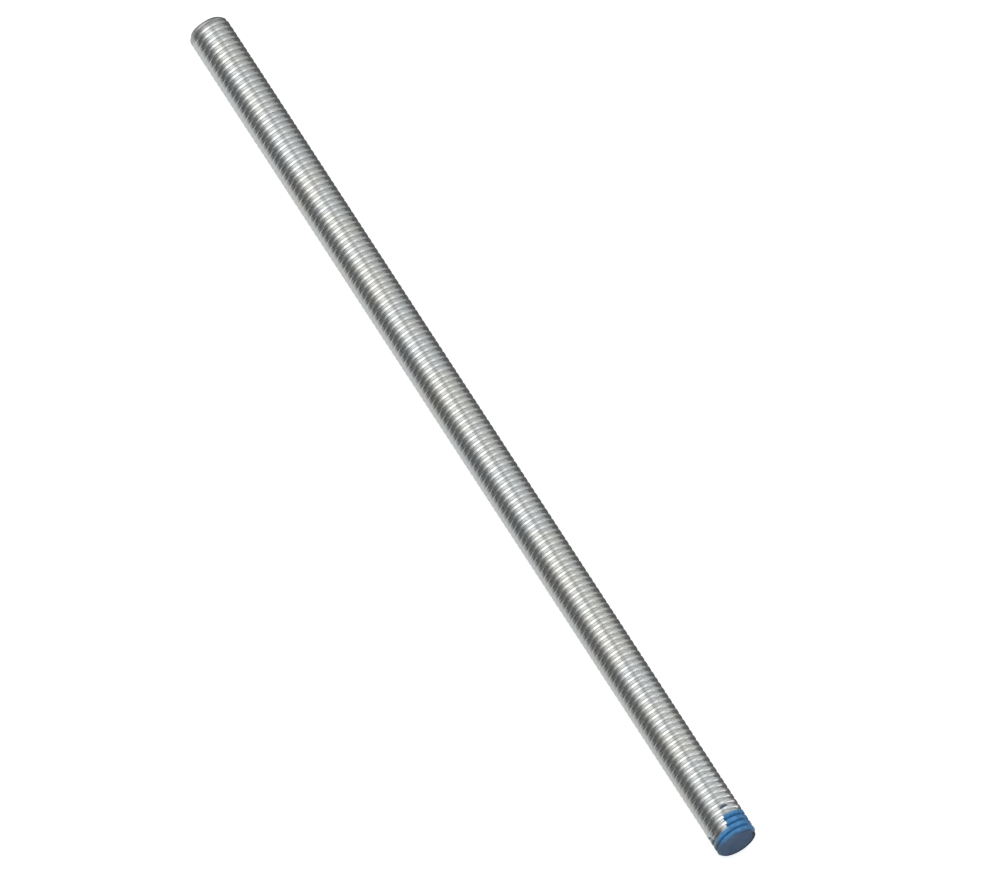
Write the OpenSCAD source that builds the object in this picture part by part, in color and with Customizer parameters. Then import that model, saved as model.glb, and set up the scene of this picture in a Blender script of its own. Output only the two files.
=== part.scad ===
// A length of fully threaded steel rod, with a right-hand thread and two cut, chamfered ends.
// The axis lies along X and the origin is the middle of the rod. The painted end points along +X.

/* [Rod] */
// Length from one end face to the other
rod_length = 304.8; // [60:0.1:330]

/* [Thread] */
// Diameter across the crests of the thread
major_d = 12.7; // [8:0.1:20]
// Turns of thread in each inch of length
threads_per_inch = 13; // [8:1:20]
// Angle between the two flanks of the groove
flank_angle = 60; // [50:1:70]
// Width of the flat along the crest of the thread
crest_flat = 0.5; // [0.1:0.05:0.8]

/* [Ends] */
// Length of the 45 degree chamfer at the painted end
painted_chamfer = 0.6; // [0.2:0.1:3]
// Length of the 45 degree chamfer at the bare end
bare_chamfer = 1; // [0.2:0.1:3]

/* [Facets] */
// Most flat facets to spend on the thread
facet_budget = 11900; // [6000:100:12600]

/* [Hidden] */

inch = 25.4;
pitch = inch / threads_per_inch;
crest_r = major_d / 2;
flank_run = (pitch - crest_flat) / 2;
groove_depth = flank_run / tan(flank_angle / 2);
root_r = crest_r - groove_depth;
half_length = rod_length / 2;
zinc = [0.74, 0.75, 0.72];

// One turn of the thread along the rod, as [distance, radius]: the root, then the edges of the crest
turn_section = [[0, root_r], [flank_run, crest_r], [flank_run + crest_flat, crest_r]];
rows_per_turn = len(turn_section);

// The helix runs one turn and a bit past each end face, where the ends are then cut square
turns = ceil(rod_length / pitch) + 3;
helix_start = -pitch * turns / 2;
rows = rows_per_turn * turns + 1;

// Corners round the rod, in fours so that the thread is major_d across both Y and Z
sides = 4 * floor(facet_budget / (2 * rows_per_turn * turns) / 4);

// Corner of the thread at a row of the section and a side of the rod
function thread_corner(row, side) =
    let (
        turn = floor(row / rows_per_turn),
        section = turn_section[row % rows_per_turn],
        angle = 360 * side / sides
    )
    [
        section[1] * cos(angle),
        section[1] * sin(angle),
        helix_start + pitch * (turn + side / sides) + section[0]
    ];

// Number of that corner. One side past the last, the same row goes on a turn further up
function corner_id(row, side) =
    side < sides ? row * sides + side : (row + rows_per_turn) * sides;

// Triangles from a point on the axis to each edge of a loop of corners
function end_fan(hub, loop) =
    [for (k = [0 : len(loop) - 1]) [hub, loop[k], loop[(k + 1) % len(loop)]]];

// The endless thread: two triangles between each pair of rows and sides, and a fan over each end
module thread() {
    corners = [for (row = [0 : rows - 1], side = [0 : sides - 1]) thread_corner(row, side)];
    low_hub = len(corners);
    high_hub = low_hub + 1;
    low_loop = concat(
        [for (side = [0 : sides - 1]) corner_id(0, side)],
        [for (row = [rows_per_turn : -1 : 1]) corner_id(row, 0)]
    );
    high_loop = concat(
        [for (row = [rows - 1 - rows_per_turn : rows - 2]) corner_id(row, sides - 1)],
        [for (side = [sides - 1 : -1 : 0]) corner_id(rows - 1, side)]
    );
    walls = [
        for (row = [0 : rows - 2], side = [0 : sides - 1])
            if (side < sides - 1 || row < rows - 1 - rows_per_turn) each [
                [corner_id(row, side), corner_id(row + 1, side), corner_id(row + 1, side + 1)],
                [corner_id(row, side), corner_id(row + 1, side + 1), corner_id(row, side + 1)]
            ]
    ];
    polyhedron(
        points = concat(corners, [[0, 0, helix_start], [0, 0, -helix_start]]),
        faces = concat(walls, end_fan(low_hub, low_loop), end_fan(high_hub, high_loop))
    );
}

// The blank that the ends are turned from: square faces and cones that open out past the crests
module chamfered_blank() {
    blank_r = crest_r + pitch;
    rotate_extrude($fn = 96)
        polygon([
            [0, -half_length],
            [crest_r - bare_chamfer, -half_length],
            [blank_r, -half_length + bare_chamfer + pitch],
            [blank_r, half_length - painted_chamfer - pitch],
            [crest_r - painted_chamfer, half_length],
            [0, half_length]
        ]);
}

module threaded_rod() {
    color(zinc)
        rotate([0, 90, 0])
            intersection() {
                thread();
                chamfered_blank();
            }
}

threaded_rod();
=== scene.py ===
import math
from typing import NamedTuple

import bpy
from bpy.props import FloatProperty, FloatVectorProperty, IntProperty, PointerProperty
from mathutils import Matrix, Vector


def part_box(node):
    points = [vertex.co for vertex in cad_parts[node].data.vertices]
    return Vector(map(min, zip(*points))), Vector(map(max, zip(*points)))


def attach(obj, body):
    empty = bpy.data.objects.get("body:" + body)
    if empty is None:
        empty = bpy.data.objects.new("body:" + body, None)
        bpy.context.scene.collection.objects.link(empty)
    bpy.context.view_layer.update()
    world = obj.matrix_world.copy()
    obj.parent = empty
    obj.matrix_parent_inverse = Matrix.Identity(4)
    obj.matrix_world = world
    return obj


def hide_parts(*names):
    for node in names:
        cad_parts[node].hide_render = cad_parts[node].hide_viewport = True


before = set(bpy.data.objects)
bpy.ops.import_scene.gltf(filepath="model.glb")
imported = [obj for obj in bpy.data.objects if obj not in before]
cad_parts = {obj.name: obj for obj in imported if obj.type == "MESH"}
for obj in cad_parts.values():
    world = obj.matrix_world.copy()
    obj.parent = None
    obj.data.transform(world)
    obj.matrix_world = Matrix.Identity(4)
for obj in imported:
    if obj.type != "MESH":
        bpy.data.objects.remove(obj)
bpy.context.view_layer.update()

bl_info = {
    "name": "Threaded Rod",
    "version": (1, 0, 0),
    "blender": (4, 5, 0),
    "location": "View3D > Sidebar > Threaded Rod",
    "description": "Builds a zinc-plated threaded rod with a painted end, and a studio to show it in",
    "category": "Add Mesh",
}

# The solid that this file dresses
NODE = "threaded_rod"
BODY = "root"
ROD_LOW, ROD_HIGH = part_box(NODE)

# Units, in metres
MM = 0.001
INCH = 25.4 * MM

# Mesh of the thread
THREADS_PER_INCH = 13
# The thread starts this many turns before the bare end, which sets its angle to that of the solid
LEAD_IN_TURNS = 2.25
LEAD_OUT_TURNS = 2.75
# A share of a turn smaller than this is a rounding error and no turn of its own
TURN_SLACK = 0.001
# How much the radius of the spare rows shrinks for each metre that they run past the end
END_FACE_CLOSING = 4.0
# Points nearer than this are one point
WELD_DISTANCE = 0.001 * MM
# Edges sharper than this are drawn sharp
SHARP_ANGLE = math.radians(38)

# Sockets of a Mix node that is set to colours
MIX_FIRST = 6
MIX_SECOND = 7
MIX_RESULT = 2

# Noise textures are used between these heights, which they seldom pass
NOISE_RANGE = (0.3, 0.7)

# Plating. Shades and roughnesses are those at the low and at the high end of a noise
BLOOM_SCALE = 90.0
BLOOM_DETAIL = 2.0
BLOOM_RANGE = (0.35, 0.65)
GRAIN_STRETCH = (5200.0, 700.0, 700.0)
GRAIN_DETAIL = 3.0
GRAIN_ROUGHNESS = 0.6
GRAIN_SHADE = (0.94, 1.04)
GRAIN_BUMP = 0.01
GRAIN_HEIGHT = 0.02 * MM
PLATE_ROUGHNESS = (0.17, 0.26)
# Shares of the groove's depth below the crest, between which the painted shade of the groove gives way to
# the plating of the crest
GROOVE_SHADE_FADE = (0.15, 0.03)

# Cut end
DULL_SHARE = 0.9
DULL_ROUGHNESS = 0.42
# Share of the chamfer at which its bare steel begins to pass into plating
CUT_FADE = 0.8
SAW_STRETCH = (300.0, 300.0, 4500.0)
SAW_SHADE = (0.75, 1.25)
SAW_ROUGHNESS = (0.36, 0.5)

# Paint on the thread. The first three sides are measured from the axis towards the brushed side
WAVER_SCALE = 420.0
WAVER_DETAIL = 4.0
WAVER_ROUGHNESS = 0.6
WAVER_REACH = 0.8 * MM
AWAY_SIDE = (-5.7 * MM, -5.0 * MM)
BRUSH_SIDE = (-0.3 * MM, 0.3 * MM)
THICK_SIDE = (-5.5 * MM, -3.0 * MM)
# Distance over which the paint fades out at its end
PAINT_EDGE = 0.2 * MM
# Between these distances from the end, thin paint begins to be rubbed off the crest
RUBBED_REACH = (2.0 * MM, 3.4 * MM)
RUBBED_COVER = 0.6
# Shares of the width of the crest, from its middle, between which the rubbed strip ends
RUBBED_STRIP = (0.5, 0.8)
FLECK_HALF_LENGTH = 0.5 * MM
FLECK_HALF_WIDTH = 1.6 * MM
# Share of the fleck's outline, squared, at which the fleck begins to fade
FLECK_CORE = 0.3
FLECK_COVER = 0.8
# Distance from the axis, towards the fleck, over which the half of the rod that has it begins
FLECK_SIDE = 1.0 * MM
# Y places between which painted shade darkens the paint on the far side
PAINT_SHADE_SIDE = (1.5 * MM, 6.0 * MM)
# Shares of the groove's depth above the root, between which the painted shade in the groove ends
PAINT_SHADE_GROOVE = (0.18, 0.6)
PAINT_SHADE_SHARE = 0.9
# Distances from the middle of the crest, between which the painted highlight along the crest's edges begins
# and ends
CREST_HIGHLIGHT_INSIDE = (0.26 * MM, 0.36 * MM)
CREST_HIGHLIGHT_OUTSIDE = (0.4 * MM, 0.48 * MM)
CREST_HIGHLIGHT_SHARE = 0.9
# Covers between which thin paint passes into full paint
FULL_COVER = (0.3, 0.9)
BRUSH_MARK_SCALE = 900.0
BRUSH_MARK_SHADE = (0.8, 1.25)
# Shares of the painted chamfer, from the end face, between which the painted shade of the face's colour on
# the chamfer gives way
CHAMFER_SHADE_EDGE = (0.3, 2.0)
CHAMFER_SHADE_SHARE = 0.65
THREAD_PAINT_ROUGHNESS = 0.25

# Paint on the end face. Sides and rims are shares of the radius of the face
FACE_TOP_TURN = math.radians(140)
FACE_TOP_SIDE = (-0.2, 1.0)
# Painted highlight along the upper rim of the face
RIM_HIGHLIGHT_TURN = math.radians(70)
RIM_HIGHLIGHT_SIDE = (0.2, 0.6)
RIM_HIGHLIGHT = (0.9, 0.96)
# Painted shade along the lower rim of the face, which faces down
LOWER_RIM_SHADE_TURN = math.radians(-50)
LOWER_RIM_SHADE_SIDE = (0.0, 0.5)
LOWER_RIM_SHADE = (0.8, 0.92)
MOTTLE_SCALE = 330.0
MOTTLE_DETAIL = 4.0
MOTTLE_ROUGHNESS = 0.6
MOTTLE_SHADE = (0.88, 1.12)
FACE_PAINT_ROUGHNESS = 0.6
# Distances from the end face between which its paint ends
FACE_DEPTH = (0.02 * MM, 0.1 * MM)
# Shine of the paint, on the thread and on the face
PAINT_SHINE = 0.08

# Studio. Lengths are in metres
WHITE = (1.0, 1.0, 1.0)
LAMP_COLOR = (0.97, 0.985, 1.0)
CARD_COLOR = (0.97, 0.99, 1.0)
FLOOR_REACH = 8.0
LIGHT_PLACE_X = -0.5
LIGHT_DISTANCE = 1.0
LIGHT_LENGTH = 2.0
VIEW_REACH = 100.0
CARD_FAR = -6.0
# The low cards lie just clear of the floor
CARD_LEVEL = ROD_LOW.z + 0.5 * MM
# Width of the camera's sensor, in millimetres
SENSOR_WIDTH = 36.0


class Tone(NamedTuple):
    """A grey and the place where a card has it."""

    place: float
    grey: float


class Fade(NamedTuple):
    """The greys of a card, from one tone to another along an axis, slanted along X from a pivot."""

    axis: str
    first: Tone
    last: Tone
    slant: float = 0.0
    pivot: float = 0.0


class LongCard(NamedTuple):
    """A card that runs along the rod, with the Y and Z of its two edges and where each ends in X."""

    name: str
    edge: tuple
    edge_near: float
    other_edge: tuple
    other_near: float
    fade: Fade


# The cards on both sides of the rod and above it
LEFT_Y = -1.0
RIGHT_Y = 1.0
RIGHT_JOIN_Z = 1.1
FADE_PIVOT_X = -0.44
LONG_CARDS = (
    LongCard(
        "left_low_card",
        edge=(0.0, CARD_LEVEL),
        edge_near=1.0,
        other_edge=(LEFT_Y, CARD_LEVEL),
        other_near=1.0,
        fade=Fade("Y", Tone(-0.010, 0.71), Tone(-0.034, 0.14), slant=0.02),
    ),
    LongCard(
        "left_card",
        edge=(LEFT_Y, CARD_LEVEL),
        edge_near=1.5,
        other_edge=(LEFT_Y, 1.4),
        other_near=-0.3,
        fade=Fade("Z", Tone(0.35, 0.165), Tone(1.25, 0.8), slant=0.37, pivot=FADE_PIVOT_X),
    ),
    LongCard(
        "right_low_card",
        edge=(0.003, CARD_LEVEL),
        edge_near=0.15,
        other_edge=(RIGHT_Y, CARD_LEVEL),
        other_near=0.15,
        fade=Fade("Y", Tone(0.02, 0.13), Tone(0.09, 0.42), slant=-0.06),
    ),
    LongCard(
        "right_card",
        edge=(RIGHT_Y, CARD_LEVEL),
        edge_near=3.0,
        other_edge=(RIGHT_Y, RIGHT_JOIN_Z),
        other_near=1.2,
        fade=Fade("Z", Tone(0.0, 0.42), Tone(1.0, 0.82), slant=-1.0, pivot=FADE_PIVOT_X),
    ),
    LongCard(
        "right_high_card",
        edge=(RIGHT_Y, RIGHT_JOIN_Z),
        edge_near=3.0,
        other_edge=(RIGHT_Y, 2.7),
        other_near=3.0,
        fade=Fade("Z", Tone(1.1, 0.9), Tone(2.7, 0.84)),
    ),
    LongCard(
        "top_card",
        edge=(0.05, 0.9),
        edge_near=0.6,
        other_edge=(0.31, 0.85),
        other_near=0.6,
        fade=Fade("Y", Tone(0.05, 0.85), Tone(0.26, 0.58)),
    ),
)

# The dark card on the camera's side, across the line of the rod
FRONT_CARD_X = 1.2
FRONT_CARD_Y = (-0.7, 1.0)
FRONT_CARD_TOP = 2.0
FRONT_CARD_FADE = Fade("Z", Tone(0.0, 0.03), Tone(FRONT_CARD_TOP, 0.15))


class RodSizes(bpy.types.PropertyGroup):
    """Sizes of the rod and of its thread."""

    length: FloatProperty(
        name="Length",
        description="From one end face to the other",
        default=ROD_HIGH.x - ROD_LOW.x,
        unit="LENGTH",
    )
    major_diameter: FloatProperty(
        name="Major Diameter",
        description="Across the crests of the thread",
        default=ROD_HIGH.z - ROD_LOW.z,
        unit="LENGTH",
    )
    pitch: FloatProperty(
        name="Pitch",
        description="From one crest to the next, along the rod",
        default=INCH / THREADS_PER_INCH,
        precision=6,
        unit="LENGTH",
    )
    groove_depth: FloatProperty(
        name="Groove Depth",
        description="From the crest down to the root, before the root is rounded",
        default=1.03 * MM,
        precision=6,
        unit="LENGTH",
    )
    crest_flat: FloatProperty(
        name="Crest Flat",
        description="Width of the flat along the crest",
        default=0.8 * MM,
        precision=6,
        unit="LENGTH",
    )
    crest_rounding: FloatProperty(
        name="Crest Rounding",
        description="Depth over which the edges of the crest are rounded off",
        default=0.06 * MM,
        precision=6,
        unit="LENGTH",
    )
    root_rounding: FloatProperty(
        name="Root Rounding",
        description="Depth over which the groove rounds into its root",
        default=0.9 * MM,
        precision=6,
        unit="LENGTH",
    )
    flank_angle: FloatProperty(
        name="Flank Angle",
        description="Between the two sides of the groove",
        default=math.radians(60),
        subtype="ANGLE",
    )
    painted_chamfer: FloatProperty(
        name="Painted Chamfer",
        description="Length of the chamfer at the painted end",
        default=0.6 * MM,
        precision=6,
        unit="LENGTH",
    )
    bare_chamfer: FloatProperty(
        name="Bare Chamfer",
        description="Length of the chamfer at the bare end",
        default=1.0 * MM,
        precision=6,
        unit="LENGTH",
    )
    bare_shoulder: FloatProperty(
        name="Bare Shoulder",
        description="How far the first turns round over into the chamfer at the bare end",
        default=1.2 * MM,
        precision=6,
        unit="LENGTH",
    )
    sides: IntProperty(
        name="Sides",
        description="Points round the rod in one turn of the thread",
        default=36,
        min=12,
    )
    rows_per_turn: IntProperty(
        name="Rows per Turn",
        description="Points across one turn of the thread, along the rod",
        default=16,
        min=6,
    )


class ZincFinish(bpy.types.PropertyGroup):
    """Colours of the plating."""

    crest_color: FloatVectorProperty(
        name="Crest Colour",
        description="Clean plating on the crests",
        default=(0.77, 0.775, 0.765),
        subtype="COLOR",
    )
    # Painted shade: the groove is coloured darker than the crest
    groove_shade_color: FloatVectorProperty(
        name="Groove Colour",
        description="Duller plating in the groove, below the crest",
        default=(0.745, 0.75, 0.74),
        subtype="COLOR",
    )
    cut_color: FloatVectorProperty(
        name="Cut Colour",
        description="Bare steel where the end was cut and chamfered",
        default=(0.36, 0.36, 0.35),
        subtype="COLOR",
    )
    dull_color: FloatVectorProperty(
        name="Dull Colour",
        description="Scraped plating on the first turns next to the cut",
        default=(0.58, 0.58, 0.57),
        subtype="COLOR",
    )
    dull_reach: FloatProperty(
        name="Dull Reach",
        description="How far from the cut end the plating is scraped dull",
        default=4.0 * MM,
        precision=6,
        unit="LENGTH",
    )
    warm_tint: FloatVectorProperty(
        name="Warm Tint",
        description="Yellow bloom of the passivated plating",
        default=(1.0, 0.993, 0.966),
        subtype="COLOR",
    )
    cool_tint: FloatVectorProperty(
        name="Cool Tint",
        description="Blue bloom of the passivated plating",
        default=(0.98, 0.99, 1.0),
        subtype="COLOR",
    )


class EndPaint(bpy.types.PropertyGroup):
    """The blue paint mark on one end."""

    thread_color: FloatVectorProperty(
        name="Thread Colour",
        description="Paint on the thread",
        default=(0.08, 0.295, 0.6),
        subtype="COLOR",
    )
    # Painted shade: darker paint in the groove and on the far side, away from the key light
    paint_shade_color: FloatVectorProperty(
        name="Deep Colour",
        description="Paint on the thread where it lies thickest, in the groove and round the far side",
        default=(0.05, 0.19, 0.4),
        subtype="COLOR",
    )
    # Painted highlight: lighter paint along the edges of the crest
    crest_highlight_color: FloatVectorProperty(
        name="Worn Colour",
        description="Paint worn thin along the edges of the crest",
        default=(0.22, 0.43, 0.64),
        subtype="COLOR",
    )
    thin_color: FloatVectorProperty(
        name="Thin Colour",
        description="Paint where it runs out thin over the plating",
        default=(0.11, 0.175, 0.23),
        subtype="COLOR",
    )
    face_color: FloatVectorProperty(
        name="Face Colour",
        description="Paint on the end face, where it lies thicker and duller",
        default=(0.07, 0.112, 0.195),
        subtype="COLOR",
    )
    # Lighter and bluer paint towards the top of the end face
    face_top_color: FloatVectorProperty(
        name="Face Top Colour",
        description="Paint on the end face, on the side where the brush left off",
        default=(0.083, 0.13, 0.22),
        subtype="COLOR",
    )
    # Painted shade: a dark line along the lower rim of the end face, which faces down
    lower_rim_shade_color: FloatVectorProperty(
        name="Pooled Colour",
        description="Paint that ran down and pooled along the lower rim of the end face",
        default=(0.014, 0.022, 0.05),
        subtype="COLOR",
    )
    # Painted highlight: a lighter line along the upper rim of the end face
    rim_color: FloatVectorProperty(
        name="Rim Colour",
        description="Paint worn thin along the upper rim of the end face",
        default=(0.12, 0.14, 0.2),
        subtype="COLOR",
    )
    fleck_color: FloatVectorProperty(
        name="Fleck Colour",
        description="Stray fleck of paint",
        default=(0.06, 0.11, 0.21),
        subtype="COLOR",
    )
    short_reach: FloatProperty(
        name="Short Reach",
        description="How far the paint runs along the rod next to the brushed side",
        default=3.4 * MM,
        precision=6,
        unit="LENGTH",
    )
    long_reach: FloatProperty(
        name="Long Reach",
        description="How far the paint runs along the rod on the brushed side",
        default=7.3 * MM,
        precision=6,
        unit="LENGTH",
    )
    thin_reach: FloatProperty(
        name="Thin Reach",
        description="How far the paint runs, until it is thin, on the side away from the brush",
        default=5.5 * MM,
        precision=6,
        unit="LENGTH",
    )
    brushed_side: FloatProperty(
        name="Brushed Side",
        description="Turn round the rod, from Y towards Z, to the middle of the brushed side",
        default=math.radians(11),
        subtype="ANGLE",
    )
    reach_turn: FloatProperty(
        name="Reach Turn",
        description="Turn round the rod, from Y towards Z, where the reach of the paint is measured",
        default=math.radians(79.5),
        subtype="ANGLE",
    )
    fleck_place: FloatProperty(
        name="Fleck Place",
        description="How far from the end a stray fleck of paint lies",
        default=9.8 * MM,
        precision=6,
        unit="LENGTH",
    )
    fleck_turn: FloatProperty(
        name="Fleck Turn",
        description="Turn round the rod, from Y towards Z, to the stray fleck",
        default=math.radians(79.5),
        subtype="ANGLE",
    )


class StudioSetup(bpy.types.PropertyGroup):
    """The floor, the light and the camera."""

    floor_color: FloatVectorProperty(
        name="Floor Colour",
        description="Colour of the floor",
        default=(0.9, 0.9, 0.9),
        subtype="COLOR",
    )
    floor_lift: FloatProperty(
        name="Floor Lift",
        description="How much brighter the floor looks than the light on it makes it",
        default=0.6,
    )
    key_power: FloatProperty(
        name="Key Power",
        description="Power of the long soft light above the rod",
        default=2.0,
        subtype="POWER",
    )
    key_lean: FloatProperty(
        name="Key Lean",
        description="How far the key light leans over from straight above the rod, towards Y",
        default=math.radians(-19.4),
        subtype="ANGLE",
    )
    key_width: FloatProperty(
        name="Key Width",
        description="Short side of the key light",
        default=0.5,
        unit="LENGTH",
    )
    fill_power: FloatProperty(
        name="Fill Power",
        description="Power of the weaker long light on the other side",
        default=0.5,
        subtype="POWER",
    )
    fill_lean: FloatProperty(
        name="Fill Lean",
        description="How far the fill light leans over from straight above the rod, towards Y",
        default=math.radians(26),
        subtype="ANGLE",
    )
    fill_width: FloatProperty(
        name="Fill Width",
        description="Short side of the fill light",
        default=0.35,
        unit="LENGTH",
    )
    light_swing: FloatProperty(
        name="Light Swing",
        description="How far both lights are swung round, from X towards Y",
        default=math.radians(32),
        subtype="ANGLE",
    )
    surround: FloatProperty(
        name="Surround",
        description="Strength of the even light from all round",
        default=0.65,
    )
    azimuth: FloatProperty(
        name="Azimuth",
        description="Turn of the camera round the upright axis",
        default=math.radians(59.965),
        subtype="ANGLE",
    )
    elevation: FloatProperty(
        name="Elevation",
        description="Height of the camera above the horizon",
        default=math.radians(62.429),
        subtype="ANGLE",
    )
    distance: FloatProperty(
        name="Distance",
        description="From the camera to the point that it looks at",
        default=6.0,
        unit="LENGTH",
    )
    lens: FloatProperty(
        name="Lens",
        description="Focal length of the camera, in millimetres",
        default=752.598,
    )
    aim_right: FloatProperty(
        name="Aim Right",
        description="How far right of the rod's middle the camera looks",
        default=8.697 * MM,
        precision=6,
        unit="LENGTH",
    )
    aim_down: FloatProperty(
        name="Aim Down",
        description="How far below the rod's middle the camera looks",
        default=2.353 * MM,
        precision=6,
        unit="LENGTH",
    )


# Node trees

class NodeWeb:
    """Adds nodes to one node tree and links them."""

    def __init__(self, tree):
        self.tree = tree
        self.tree.nodes.clear()

    def add(self, kind, inputs=None, **settings):
        """Adds a node, sets its options, and feeds its inputs with values or other nodes' outputs."""
        node = self.tree.nodes.new(kind)
        for name, value in settings.items():
            setattr(node, name, value)
        for key, value in (inputs or {}).items():
            self.feed(node.inputs[key], value)
        return node

    def feed(self, socket, value):
        """Links an output to an input, or sets the input to a plain value."""
        if isinstance(value, bpy.types.NodeSocket):
            self.tree.links.new(value, socket)
        else:
            socket.default_value = value

    def math(self, operation, *values):
        """Adds a Math node and returns its output."""
        node = self.add("ShaderNodeMath", operation=operation)
        for socket, value in zip(node.inputs, values):
            self.feed(socket, value)
        return node.outputs[0]

    def rest(self, share):
        """What a share leaves of one."""
        return self.math("SUBTRACT", 1.0, share)

    def span(self, value, low, high, to_low=0.0, to_high=1.0, smooth=False):
        """Maps a value from one range to another, held at both ends."""
        node = self.add(
            "ShaderNodeMapRange",
            interpolation_type="SMOOTHSTEP" if smooth else "LINEAR",
            clamp=True,
        )
        for socket, given in zip(node.inputs, (value, low, high, to_low, to_high)):
            self.feed(socket, given)
        return node.outputs["Result"]

    def between(self, share, first, second):
        """A number that passes from a first to a second one as a share goes from 0 to 1."""
        return self.span(share, 0.0, 1.0, first, second)

    def blend(self, share, first, second, how="MIX"):
        """Mixes two colours and returns the result."""
        node = self.add("ShaderNodeMix", data_type="RGBA", blend_type=how)
        self.feed(node.inputs["Factor"], share)
        self.feed(node.inputs[MIX_FIRST], first)
        self.feed(node.inputs[MIX_SECOND], second)
        return node.outputs[MIX_RESULT]

    def shaded(self, color, shade):
        """A colour multiplied by another or by a number."""
        return self.blend(1.0, color, shade, "MULTIPLY")

    def noise(self, vector, scale, detail=3.0, roughness=0.5):
        """Adds a noise texture and returns its height."""
        node = self.add(
            "ShaderNodeTexNoise",
            {"Vector": vector, "Scale": scale, "Detail": detail, "Roughness": roughness},
        )
        return node.outputs["Fac"]

    def stretched_noise(self, vector, stretch):
        """A fine-grained noise with its own scale along each axis."""
        scaled = self.add("ShaderNodeVectorMath", {0: vector, 1: stretch}, operation="MULTIPLY")
        return self.noise(scaled.outputs["Vector"], 1.0, GRAIN_DETAIL, GRAIN_ROUGHNESS)


def rgba(color):
    """A colour with full alpha."""
    return (*color, 1.0)


# The thread

def thread_inputs(sizes, material):
    """Named inputs of the thread's node tree: name, socket type and value."""
    turns = math.ceil(sizes.length / sizes.pitch - TURN_SLACK) + LEAD_IN_TURNS + LEAD_OUT_TURNS
    return [
        ("Length", "NodeSocketFloat", sizes.length),
        ("Major Radius", "NodeSocketFloat", sizes.major_diameter / 2),
        ("Pitch", "NodeSocketFloat", sizes.pitch),
        ("Groove Depth", "NodeSocketFloat", sizes.groove_depth),
        ("Crest Flat", "NodeSocketFloat", sizes.crest_flat),
        ("Crest Rounding", "NodeSocketFloat", sizes.crest_rounding),
        ("Root Rounding", "NodeSocketFloat", sizes.root_rounding),
        ("Flank Angle", "NodeSocketFloat", sizes.flank_angle),
        ("Painted Chamfer", "NodeSocketFloat", sizes.painted_chamfer),
        ("Bare Chamfer", "NodeSocketFloat", sizes.bare_chamfer),
        ("Bare Shoulder", "NodeSocketFloat", sizes.bare_shoulder),
        ("Turns", "NodeSocketInt", round(turns)),
        ("Sides", "NodeSocketInt", sizes.sides),
        ("Rows per Turn", "NodeSocketInt", sizes.rows_per_turn),
        ("Material", "NodeSocketMaterial", material),
    ]


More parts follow.
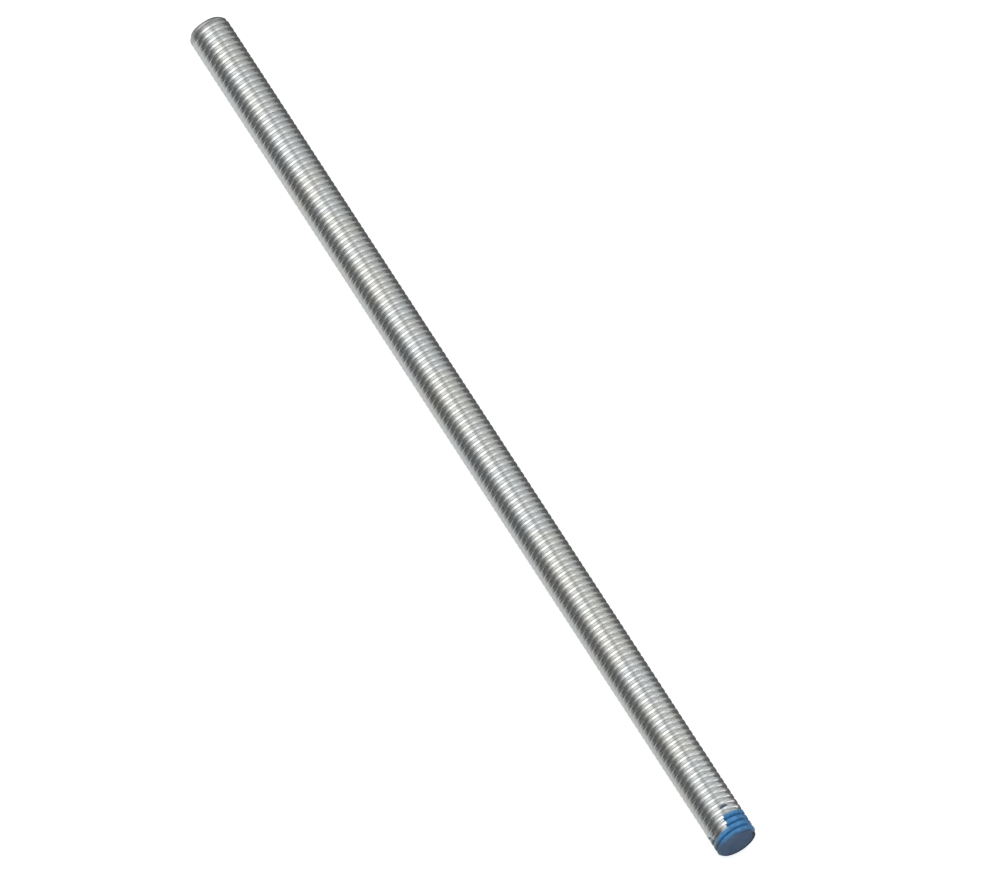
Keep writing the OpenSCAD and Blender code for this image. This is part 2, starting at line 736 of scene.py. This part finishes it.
def thread_tree(inputs):
    """Node tree that winds a flat grid into a threaded rod, along X, with its middle at the origin."""
    tree = bpy.data.node_groups.new("Wound Thread", "GeometryNodeTree")
    tree.interface.new_socket("Geometry", in_out="OUTPUT", socket_type="NodeSocketGeometry")
    for name, kind, _ in inputs:
        tree.interface.new_socket(name, in_out="INPUT", socket_type=kind)
    web = NodeWeb(tree)
    given = web.add("NodeGroupInput").outputs
    pitch = given["Pitch"]
    crest_r = given["Major Radius"]
    half = web.math("MULTIPLY", given["Length"], 0.5)

    # A flat grid, with a row for each step along the thread and a side for each step round the rod
    rows = web.math("MULTIPLY_ADD", given["Turns"], given["Rows per Turn"], 1.0)
    columns = web.math("ADD", given["Sides"], 1.0)
    grid = web.add("GeometryNodeMeshGrid", {"Vertices X": rows, "Vertices Y": columns})
    index = web.add("GeometryNodeInputIndex").outputs["Index"]
    row = web.math("FLOOR", web.math("DIVIDE", web.math("ADD", index, 0.5), columns))
    side = web.math("SUBTRACT", index, web.math("MULTIPLY", row, columns))
    turn_share = web.math("DIVIDE", side, given["Sides"])

    # Each side goes on a little further along than the last, so a full turn climbs one pitch
    climbed = web.math("ADD", web.math("DIVIDE", row, given["Rows per Turn"]), turn_share)
    lead_in = web.math("MULTIPLY", pitch, LEAD_IN_TURNS)
    start = web.math("MULTIPLY", web.math("ADD", half, lead_in), -1.0)
    wound = web.math("MULTIPLY_ADD", climbed, pitch, start)
    along = web.math("MINIMUM", web.math("MAXIMUM", wound, web.math("MULTIPLY", half, -1.0)), half)

    # Section of the thread: crest, flanks and root, with the root rounded
    phase = web.math("DIVIDE", web.math("SUBTRACT", along, start), pitch)
    phase = web.math("FRACT", web.math("SUBTRACT", phase, turn_share))
    from_crest = web.math("MULTIPLY", web.math("ABSOLUTE", web.math("SUBTRACT", phase, 0.5)), pitch)
    past_flat = web.math("SUBTRACT", web.math("MULTIPLY", given["Crest Flat"], 0.5), from_crest)
    flank_slope = web.math("TANGENT", web.math("MULTIPLY", given["Flank Angle"], 0.5))
    flank = web.math("ADD", crest_r, web.math("DIVIDE", past_flat, flank_slope))
    root_r = web.math("SUBTRACT", crest_r, given["Groove Depth"])
    section = web.math("SMOOTH_MAX", root_r, flank, given["Root Rounding"])
    section = web.math("SMOOTH_MIN", crest_r, section, given["Crest Rounding"])

    # Chamfers at 45 degrees, and end faces on which the spare rows close in on the axis
    painted_cone = web.math("SUBTRACT", web.math("SUBTRACT", half, along), given["Painted Chamfer"])
    bare_cone = web.math("SUBTRACT", web.math("ADD", half, along), given["Bare Chamfer"])
    turned = web.math("MINIMUM", section, web.math("ADD", crest_r, painted_cone))
    turned = web.math("SMOOTH_MIN", turned, web.math("ADD", crest_r, bare_cone), given["Bare Shoulder"])
    row_step = web.math("DIVIDE", pitch, given["Rows per Turn"])
    past_end = web.math("SUBTRACT", web.math("ABSOLUTE", wound), half)
    past_rim = web.math("MAXIMUM", web.math("SUBTRACT", past_end, row_step), 0.0)
    closed_in = web.math("MULTIPLY", past_rim, END_FACE_CLOSING)
    radius = web.math("MAXIMUM", web.math("SUBTRACT", turned, closed_in), 0.0)

    # Wind the grid round the axis
    angle = web.math("MULTIPLY", turn_share, math.tau)
    place = web.add(
        "ShaderNodeCombineXYZ",
        {
            "X": along,
            "Y": web.math("MULTIPLY", radius, web.math("COSINE", angle)),
            "Z": web.math("MULTIPLY", radius, web.math("SINE", angle)),
        },
    )
    moved = web.add(
        "GeometryNodeSetPosition",
        {"Geometry": grid.outputs["Mesh"], "Position": place.outputs["Vector"]},
    )
    welded = web.add(
        "GeometryNodeMergeByDistance",
        {"Geometry": moved.outputs["Geometry"], "Distance": WELD_DISTANCE},
    )
    outward = web.add("GeometryNodeFlipFaces", {"Mesh": welded.outputs["Geometry"]})

    # Smooth, apart from sharp edges such as those of the crest and the rims of the ends
    smooth = web.add(
        "GeometryNodeSetShadeSmooth",
        {"Geometry": outward.outputs["Mesh"], "Shade Smooth": True},
        domain="FACE",
    )
    edge_angle = web.add("GeometryNodeInputMeshEdgeAngle").outputs["Unsigned Angle"]
    edged = web.add(
        "GeometryNodeSetShadeSmooth",
        {
            "Geometry": smooth.outputs["Geometry"],
            "Selection": web.math("GREATER_THAN", edge_angle, SHARP_ANGLE),
            "Shade Smooth": False,
        },
        domain="EDGE",
    )
    real = web.add("GeometryNodeRealizeInstances", {"Geometry": edged.outputs["Geometry"]})
    plated = web.add(
        "GeometryNodeSetMaterial",
        {"Geometry": real.outputs["Geometry"], "Material": given["Material"]},
    )
    web.add("NodeGroupOutput", {"Geometry": plated.outputs["Geometry"]})
    return tree


def wound_mesh(name, inputs):
    """Runs the thread's node tree once and returns the result as a plain mesh."""
    tree = thread_tree(inputs)
    blank = bpy.data.objects.new(f"{name}_blank", bpy.data.meshes.new(f"{name}_blank"))
    bpy.context.scene.collection.objects.link(blank)
    modifier = blank.modifiers.new("Thread", "NODES")
    modifier.node_group = tree
    sockets = [item for item in tree.interface.items_tree if item.in_out == "INPUT"]
    for socket, (_, _, value) in zip(sockets, inputs):
        modifier[socket.identifier] = value
    graph = bpy.context.evaluated_depsgraph_get()
    mesh = bpy.data.meshes.new_from_object(blank.evaluated_get(graph))
    mesh.name = name
    bpy.data.objects.remove(blank)
    return mesh


# The rod's material

class RodSurface:
    """Where a point lies on the rod, as outputs that its finishes read."""

    def __init__(self, web, sizes):
        half = sizes.length / 2
        self.web = web
        self.place = web.add("ShaderNodeTexCoord").outputs["Object"]
        self.axes = web.add("ShaderNodeSeparateXYZ", {"Vector": self.place}).outputs
        squares = [web.math("POWER", self.axes[name], 2.0) for name in ("Y", "Z")]
        self.radius = web.math("SQRT", web.math("ADD", *squares))
        self.from_cut = web.math("ADD", self.axes["X"], half)
        self.from_face = web.math("SUBTRACT", half, self.axes["X"])
        self.crest_r = sizes.major_diameter / 2
        self.root_r = self.crest_r - sizes.groove_depth

        # Place on the thread: turns round the rod, and distance from the middle of the crest
        self.turns = web.math("DIVIDE", web.math("ARCTAN2", self.axes["Z"], self.axes["Y"]), math.tau)
        start = half + LEAD_IN_TURNS * sizes.pitch
        climbed = web.math("DIVIDE", web.math("ADD", self.axes["X"], start), sizes.pitch)
        phase = web.math("FRACT", web.math("SUBTRACT", climbed, self.turns))
        off_middle = web.math("ABSOLUTE", web.math("SUBTRACT", phase, 0.5))
        self.from_crest = web.math("MULTIPLY", off_middle, sizes.pitch)

    def sideways(self, turn):
        """How far a point lies from the axis, towards a turn from Y to Z."""
        to_y = self.web.math("MULTIPLY", self.axes["Y"], math.cos(turn))
        return self.web.math("MULTIPLY_ADD", self.axes["Z"], math.sin(turn), to_y)


def zinc_plate(surface, sizes, zinc):
    """Plating, with painted shade in the groove, a bloom of two tints and fine streaks along the thread."""
    web = surface.web
    # Painted shade: the groove is coloured darker than the crest
    low, high = (surface.crest_r - share * sizes.groove_depth for share in GROOVE_SHADE_FADE)
    clear_of_groove_shade = web.span(surface.radius, low, high)
    plate = web.blend(clear_of_groove_shade, rgba(zinc.groove_shade_color), rgba(zinc.crest_color))
    bloom = web.span(web.noise(surface.place, BLOOM_SCALE, BLOOM_DETAIL), *BLOOM_RANGE, smooth=True)
    plate = web.shaded(plate, web.blend(bloom, rgba(zinc.warm_tint), rgba(zinc.cool_tint)))
    grain = web.stretched_noise(surface.place, GRAIN_STRETCH)
    plate = web.shaded(plate, web.span(grain, *NOISE_RANGE, *GRAIN_SHADE))
    roughness = web.span(grain, *NOISE_RANGE, *PLATE_ROUGHNESS)
    return plate, roughness, grain


def cut_end(surface, sizes, zinc, plate, roughness):
    """Adds the sawn and chamfered steel of the bare end to the plating, and the dull plating next to it."""
    web = surface.web
    dull = web.span(surface.from_cut, sizes.bare_chamfer, zinc.dull_reach, DULL_SHARE, 0.0, smooth=True)
    plate = web.blend(dull, plate, rgba(zinc.dull_color))
    roughness = web.between(dull, roughness, DULL_ROUGHNESS)
    cut = web.span(surface.from_cut, CUT_FADE * sizes.bare_chamfer, sizes.bare_chamfer, 1.0, 0.0)
    saw_marks = web.stretched_noise(surface.place, SAW_STRETCH)
    steel = web.shaded(rgba(zinc.cut_color), web.span(saw_marks, *NOISE_RANGE, *SAW_SHADE))
    plate = web.blend(cut, plate, steel)
    roughness = web.between(cut, roughness, web.span(saw_marks, *NOISE_RANGE, *SAW_ROUGHNESS))
    return plate, roughness


class PaintCover:
    """Where the paint lies: it ends along the thread, runs on further on one side, and has one fleck."""

    def __init__(self, surface, sizes, paint):
        web = surface.web
        noise = web.noise(surface.place, WAVER_SCALE, WAVER_DETAIL, WAVER_ROUGHNESS)
        wavering = web.between(noise, -WAVER_REACH, WAVER_REACH)
        brushed = web.math("ADD", surface.sideways(paint.brushed_side), wavering)
        away = web.span(brushed, *AWAY_SIDE, paint.thin_reach, paint.short_reach)
        reach = web.span(brushed, *BRUSH_SIDE, away, paint.long_reach)
        from_turn = web.math("SUBTRACT", surface.turns, paint.reach_turn / math.tau)
        along_thread = web.math("MULTIPLY_ADD", from_turn, sizes.pitch, surface.from_face)
        self.thick = web.span(brushed, *THICK_SIDE, smooth=True)
        self.fleck = self.stray_fleck(surface, paint, along_thread)
        self.on_face = web.span(surface.from_face, *FACE_DEPTH, 1.0, 0.0)

        # Thin paint is rubbed off the crest
        strip = (share * sizes.crest_flat for share in RUBBED_STRIP)
        on_strip = web.span(surface.from_crest, *strip, 1.0, 0.0)
        rubbed = web.math("MULTIPLY", on_strip, web.span(along_thread, *RUBBED_REACH))
        rubbed = web.math("MULTIPLY", web.rest(self.thick), rubbed)
        brush_mark = web.span(web.math("SUBTRACT", reach, along_thread), 0.0, PAINT_EDGE)
        brush_mark = web.math("MULTIPLY", brush_mark, web.between(rubbed, 1.0, RUBBED_COVER))
        self.painted = web.math("MAXIMUM", web.math("MAXIMUM", brush_mark, self.fleck), self.on_face)

    def stray_fleck(self, surface, paint, along_thread):
        """An oval of paint that lies along the thread, on one side of the rod only."""
        web = surface.web
        from_middle = web.math("SUBTRACT", along_thread, paint.fleck_place)
        lengthwise = web.math("DIVIDE", from_middle, FLECK_HALF_LENGTH)
        across = web.math("DIVIDE", surface.sideways(paint.fleck_turn - math.pi / 2), FLECK_HALF_WIDTH)
        squared = web.math("ADD", web.math("POWER", lengthwise, 2.0), web.math("POWER", across, 2.0))
        on_side = web.span(surface.sideways(paint.fleck_turn), 0.0, FLECK_SIDE)
        return web.math("MULTIPLY", web.span(squared, FLECK_CORE, 1.0, FLECK_COVER, 0.0), on_side)


def thread_paint(surface, sizes, paint, cover):
    """Paint on the thread, with painted shade and painted highlights, thin where it runs out."""
    web = surface.web
    # Painted shade: darker paint in the groove and on the far side, away from the key light
    shaded_groove = (surface.root_r + share * sizes.groove_depth for share in PAINT_SHADE_GROOVE)
    paint_shade = web.span(surface.radius, *shaded_groove, PAINT_SHADE_SHARE, 0.0)
    paint_shade = web.math("MAXIMUM", web.span(surface.axes["Y"], *PAINT_SHADE_SIDE), paint_shade)
    full = web.blend(paint_shade, rgba(paint.thread_color), rgba(paint.paint_shade_color))
    # Painted highlight: lighter paint along the edges of the crest
    inside = web.span(surface.from_crest, *CREST_HIGHLIGHT_INSIDE, smooth=True)
    outside = web.span(surface.from_crest, *CREST_HIGHLIGHT_OUTSIDE, CREST_HIGHLIGHT_SHARE, 0.0, smooth=True)
    highlight = web.math("MULTIPLY", web.math("MULTIPLY", inside, outside), web.rest(paint_shade))
    full = web.blend(highlight, full, rgba(paint.crest_highlight_color))
    full_share = web.math("MINIMUM", web.span(cover.painted, *FULL_COVER), cover.thick)
    color = web.blend(full_share, rgba(paint.thin_color), full)
    brush_marks = web.span(web.noise(surface.place, BRUSH_MARK_SCALE), *NOISE_RANGE, *BRUSH_MARK_SHADE)
    color = web.shaded(color, brush_marks)
    color = web.blend(cover.fleck, color, rgba(paint.fleck_color))
    # Painted shade: the face's darker colour is laid on the chamfer, which the key light strikes
    edge = (share * sizes.painted_chamfer for share in CHAMFER_SHADE_EDGE)
    chamfer_shade = web.span(surface.from_face, *edge, 1.0, 0.0, smooth=True)
    return web.blend(web.math("MULTIPLY", chamfer_shade, CHAMFER_SHADE_SHARE), color, rgba(paint.face_color))


def face_paint(surface, sizes, paint):
    """Paint on the end face: bluer at the top, with a painted highlight along the upper rim and painted
    shade along the lower one.
    """
    web = surface.web
    face_r = surface.crest_r - sizes.painted_chamfer

    def toward(value, shares):
        """Passes from 0 to 1 between two shares of the radius of the face."""
        return web.span(value, *(share * face_r for share in shares), smooth=True)

    top = toward(surface.sideways(FACE_TOP_TURN), FACE_TOP_SIDE)
    color = web.blend(top, rgba(paint.face_color), rgba(paint.face_top_color))
    # Painted highlight along the upper rim of the face
    upper_side = toward(surface.sideways(RIM_HIGHLIGHT_TURN), RIM_HIGHLIGHT_SIDE)
    highlight = web.math("MULTIPLY", toward(surface.radius, RIM_HIGHLIGHT), upper_side)
    color = web.blend(highlight, color, rgba(paint.rim_color))
    # Painted shade along the lower rim of the face, which faces down
    lower_side = toward(surface.sideways(LOWER_RIM_SHADE_TURN), LOWER_RIM_SHADE_SIDE)
    lower_rim_shade = web.math("MULTIPLY", toward(surface.radius, LOWER_RIM_SHADE), lower_side)
    color = web.blend(lower_rim_shade, color, rgba(paint.lower_rim_shade_color))
    mottle = web.noise(surface.place, MOTTLE_SCALE, MOTTLE_DETAIL, MOTTLE_ROUGHNESS)
    return web.shaded(color, web.span(mottle, *NOISE_RANGE, *MOTTLE_SHADE))


def plated_material(sizes, zinc, paint):
    """Zinc plate, with bare steel at the cut end and blue paint over the end that points along +X."""
    material = bpy.data.materials.new("Zinc plate with a painted end")
    material.use_nodes = True
    web = NodeWeb(material.node_tree)
    surface = RodSurface(web, sizes)
    plate, plate_roughness, grain = zinc_plate(surface, sizes, zinc)
    plate, plate_roughness = cut_end(surface, sizes, zinc, plate, plate_roughness)
    cover = PaintCover(surface, sizes, paint)
    on_thread = thread_paint(surface, sizes, paint, cover)
    paint_color = web.blend(cover.on_face, on_thread, face_paint(surface, sizes, paint))
    paint_roughness = web.between(cover.on_face, THREAD_PAINT_ROUGHNESS, FACE_PAINT_ROUGHNESS)
    bump = web.add(
        "ShaderNodeBump",
        {"Strength": GRAIN_BUMP, "Distance": GRAIN_HEIGHT, "Height": grain},
    )
    shader = web.add(
        "ShaderNodeBsdfPrincipled",
        {
            "Base Color": web.blend(cover.painted, plate, paint_color),
            "Metallic": web.rest(cover.painted),
            "Roughness": web.between(cover.painted, plate_roughness, paint_roughness),
            "Specular IOR Level": PAINT_SHINE,
            "Normal": bump.outputs["Normal"],
        },
    )
    web.add("ShaderNodeOutputMaterial", {"Surface": shader.outputs["BSDF"]})
    return material


# The studio

def seen_directly(web):
    """1 for the rays that show the background: straight, mirrored or through glass."""
    path = web.add("ShaderNodeLightPath").outputs
    seen = web.math("MAXIMUM", path["Is Camera Ray"], path["Is Glossy Ray"])
    return web.math("MAXIMUM", seen, path["Is Transmission Ray"])


def floor_material(color, lift_share):
    """Pale matt floor that is lifted towards white where it is looked at, and keeps the shadow."""
    material = bpy.data.materials.new("Pale floor")
    material.use_nodes = True
    web = NodeWeb(material.node_tree)
    matt = web.add("ShaderNodeBsdfDiffuse", {"Color": rgba(color)})
    lift = web.add(
        "ShaderNodeEmission",
        {"Color": rgba(WHITE), "Strength": web.math("MULTIPLY", seen_directly(web), lift_share)},
    )
    total = web.add("ShaderNodeAddShader")
    web.feed(total.inputs[0], matt.outputs["BSDF"])
    web.feed(total.inputs[1], lift.outputs["Emission"])
    web.add("ShaderNodeOutputMaterial", {"Surface": total.outputs["Shader"]})
    return material


def card_material(fade):
    """Studio card that glows in the greys of a fade."""
    material = bpy.data.materials.new("Graduated card")
    material.use_nodes = True
    material.cycles.emission_sampling = "NONE"
    web = NodeWeb(material.node_tree)
    place = web.add("ShaderNodeTexCoord").outputs["Object"]
    axes = web.add("ShaderNodeSeparateXYZ", {"Vector": place}).outputs
    shift = web.math("MULTIPLY", web.math("SUBTRACT", axes["X"], fade.pivot), fade.slant)
    along = web.math("SUBTRACT", axes[fade.axis], shift)
    grey = web.span(along, fade.first.place, fade.last.place, fade.first.grey, fade.last.grey)
    glow = web.add("ShaderNodeEmission", {"Color": rgba(CARD_COLOR), "Strength": grey})
    web.add("ShaderNodeOutputMaterial", {"Surface": glow.outputs["Emission"]})
    return material


def flat_sheet(name, corners, material):
    """A single flat sheet with the given corners."""
    mesh = bpy.data.meshes.new(name)
    mesh.from_pydata(corners, [], [tuple(range(len(corners)))])
    mesh.materials.append(material)
    sheet = bpy.data.objects.new(name, mesh)
    bpy.context.scene.collection.objects.link(sheet)
    return sheet


def mirrored_card(name, corners, fade):
    """A card that only reflections show."""
    card = flat_sheet(name, corners, card_material(fade))
    card.visible_camera = False
    card.visible_diffuse = False
    card.visible_transmission = False
    card.visible_shadow = False


def reflected_cards():
    """The cards that the rod mirrors: to its left, to its right, above it and on the camera's side."""
    for card in LONG_CARDS:
        corners = [
            (CARD_FAR, *card.edge),
            (card.edge_near, *card.edge),
            (card.other_near, *card.other_edge),
            (CARD_FAR, *card.other_edge),
        ]
        mirrored_card(card.name, corners, card.fade)
    low_y, high_y = FRONT_CARD_Y
    corners = [
        (FRONT_CARD_X, low_y, CARD_LEVEL),
        (FRONT_CARD_X, high_y, CARD_LEVEL),
        (FRONT_CARD_X, high_y, FRONT_CARD_TOP),
        (FRONT_CARD_X, low_y, FRONT_CARD_TOP),
    ]
    mirrored_card("front_card", corners, FRONT_CARD_FADE)


def soft_light(name, power, place, target, width, swing):
    """A rectangular soft light, with its long side along X and then swung round towards Y."""
    lamp = bpy.data.lights.new(name, "AREA")
    lamp.shape = "RECTANGLE"
    lamp.size = LIGHT_LENGTH
    lamp.size_y = width
    lamp.energy = power
    lamp.color = LAMP_COLOR
    light = bpy.data.objects.new(name, lamp)
    light.location = place
    back = (place - target).normalized()
    across = back.cross(Vector((1.0, 0.0, 0.0))).normalized()
    long_side = across.cross(back) * math.cos(swing) + across * math.sin(swing)
    short_side = back.cross(long_side)
    light.rotation_mode = "QUATERNION"
    light.rotation_quaternion = Matrix((long_side, short_side, back)).transposed().to_quaternion()
    light.visible_camera = False
    bpy.context.scene.collection.objects.link(light)


def surround_light(strength):
    """A world that is white where it is seen and gentler as light."""
    world = bpy.data.worlds.new("Studio surround")
    world.use_nodes = True
    web = NodeWeb(world.node_tree)
    level = web.between(seen_directly(web), strength, 1.0)
    glow = web.add("ShaderNodeBackground", {"Color": rgba(WHITE), "Strength": level})
    web.add("ShaderNodeOutputWorld", {"Surface": glow.outputs["Background"]})
    bpy.context.scene.world = world


def aimed_camera(setup, middle):
    """A long-lens camera that sees the rod from the photograph's side."""
    turn = setup.azimuth
    rise = setup.elevation
    back = Vector((math.sin(turn) * math.cos(rise), -math.cos(turn) * math.cos(rise), math.sin(rise)))
    right = Vector((math.cos(turn), math.sin(turn), 0.0))
    down = right.cross(back)
    aim = middle + right * setup.aim_right + down * setup.aim_down
    lens = bpy.data.cameras.new("Camera")
    lens.lens = setup.lens
    lens.sensor_width = SENSOR_WIDTH
    lens.clip_end = VIEW_REACH
    camera = bpy.data.objects.new("Camera", lens)
    camera.location = aim + back * setup.distance
    camera.rotation_mode = "QUATERNION"
    camera.rotation_quaternion = (-back).to_track_quat("-Z", "Y")
    bpy.context.scene.collection.objects.link(camera)
    bpy.context.scene.camera = camera


class ROD_OT_build_rod(bpy.types.Operator):
    """Winds the threaded rod and plates and paints it"""

    bl_idname = "rod.build_rod"
    bl_label = "Build Threaded Rod"

    def execute(self, context):
        scene = context.scene
        material = plated_material(scene.rod_sizes, scene.rod_zinc, scene.rod_paint)
        mesh = wound_mesh("rod_thread", thread_inputs(scene.rod_sizes, material))
        if not mesh.polygons:
            raise RuntimeError("the thread has no faces")
        rod = bpy.data.objects.new("rod_thread", mesh)
        scene.collection.objects.link(rod)
        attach(rod, BODY)
        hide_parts(NODE)
        return {"FINISHED"}


class ROD_OT_build_studio(bpy.types.Operator):
    """Lays the floor, hangs the cards and lights and sets the camera"""

    bl_idname = "rod.build_studio"
    bl_label = "Build Studio"

    def execute(self, context):
        scene = context.scene
        setup = scene.rod_studio
        middle = (ROD_LOW + ROD_HIGH) / 2
        ground = ROD_LOW.z
        signs = ((-1, -1), (1, -1), (1, 1), (-1, 1))
        corners = [(x * FLOOR_REACH, y * FLOOR_REACH, ground) for x, y in signs]
        flat_sheet("floor", corners, floor_material(setup.floor_color, setup.floor_lift))
        reflected_cards()
        for name, power, lean, width in (
            ("key", setup.key_power, setup.key_lean, setup.key_width),
            ("fill", setup.fill_power, setup.fill_lean, setup.fill_width),
        ):
            overhead = LIGHT_DISTANCE * Vector((0.0, math.sin(lean), math.cos(lean)))
            place = overhead + Vector((LIGHT_PLACE_X, 0.0, 0.0))
            soft_light(name, power, place, middle, width, setup.light_swing)
        surround_light(setup.surround)
        aimed_camera(setup, middle)
        scene.view_settings.view_transform = "Standard"
        return {"FINISHED"}


class ROD_PT_threaded_rod(bpy.types.Panel):
    """Lists the sizes, finishes and steps of the threaded rod"""

    bl_idname = "ROD_PT_threaded_rod"
    bl_label = "Threaded Rod"
    bl_space_type = "VIEW_3D"
    bl_region_type = "UI"
    bl_category = "Threaded Rod"

    def draw(self, context):
        scene = context.scene
        for step in STEPS:
            self.layout.operator(step.bl_idname)
        for name in GROUPS:
            group = getattr(scene, name)
            box = self.layout.box()
            for setting in group.__annotations__:
                box.prop(group, setting)


GROUPS = {
    "rod_sizes": RodSizes,
    "rod_zinc": ZincFinish,
    "rod_paint": EndPaint,
    "rod_studio": StudioSetup,
}
STEPS = (ROD_OT_build_rod, ROD_OT_build_studio)
CLASSES = (*GROUPS.values(), *STEPS, ROD_PT_threaded_rod)


def register():
    for cls in CLASSES:
        bpy.utils.register_class(cls)
    for name, group in GROUPS.items():
        setattr(bpy.types.Scene, name, PointerProperty(type=group))


def unregister():
    for name in GROUPS:
        delattr(bpy.types.Scene, name)
    for cls in reversed(CLASSES):
        bpy.utils.unregister_class(cls)


def main():
    register()
    bpy.ops.rod.build_rod()
    bpy.ops.rod.build_studio()


if __name__ == "__main__":
    main()
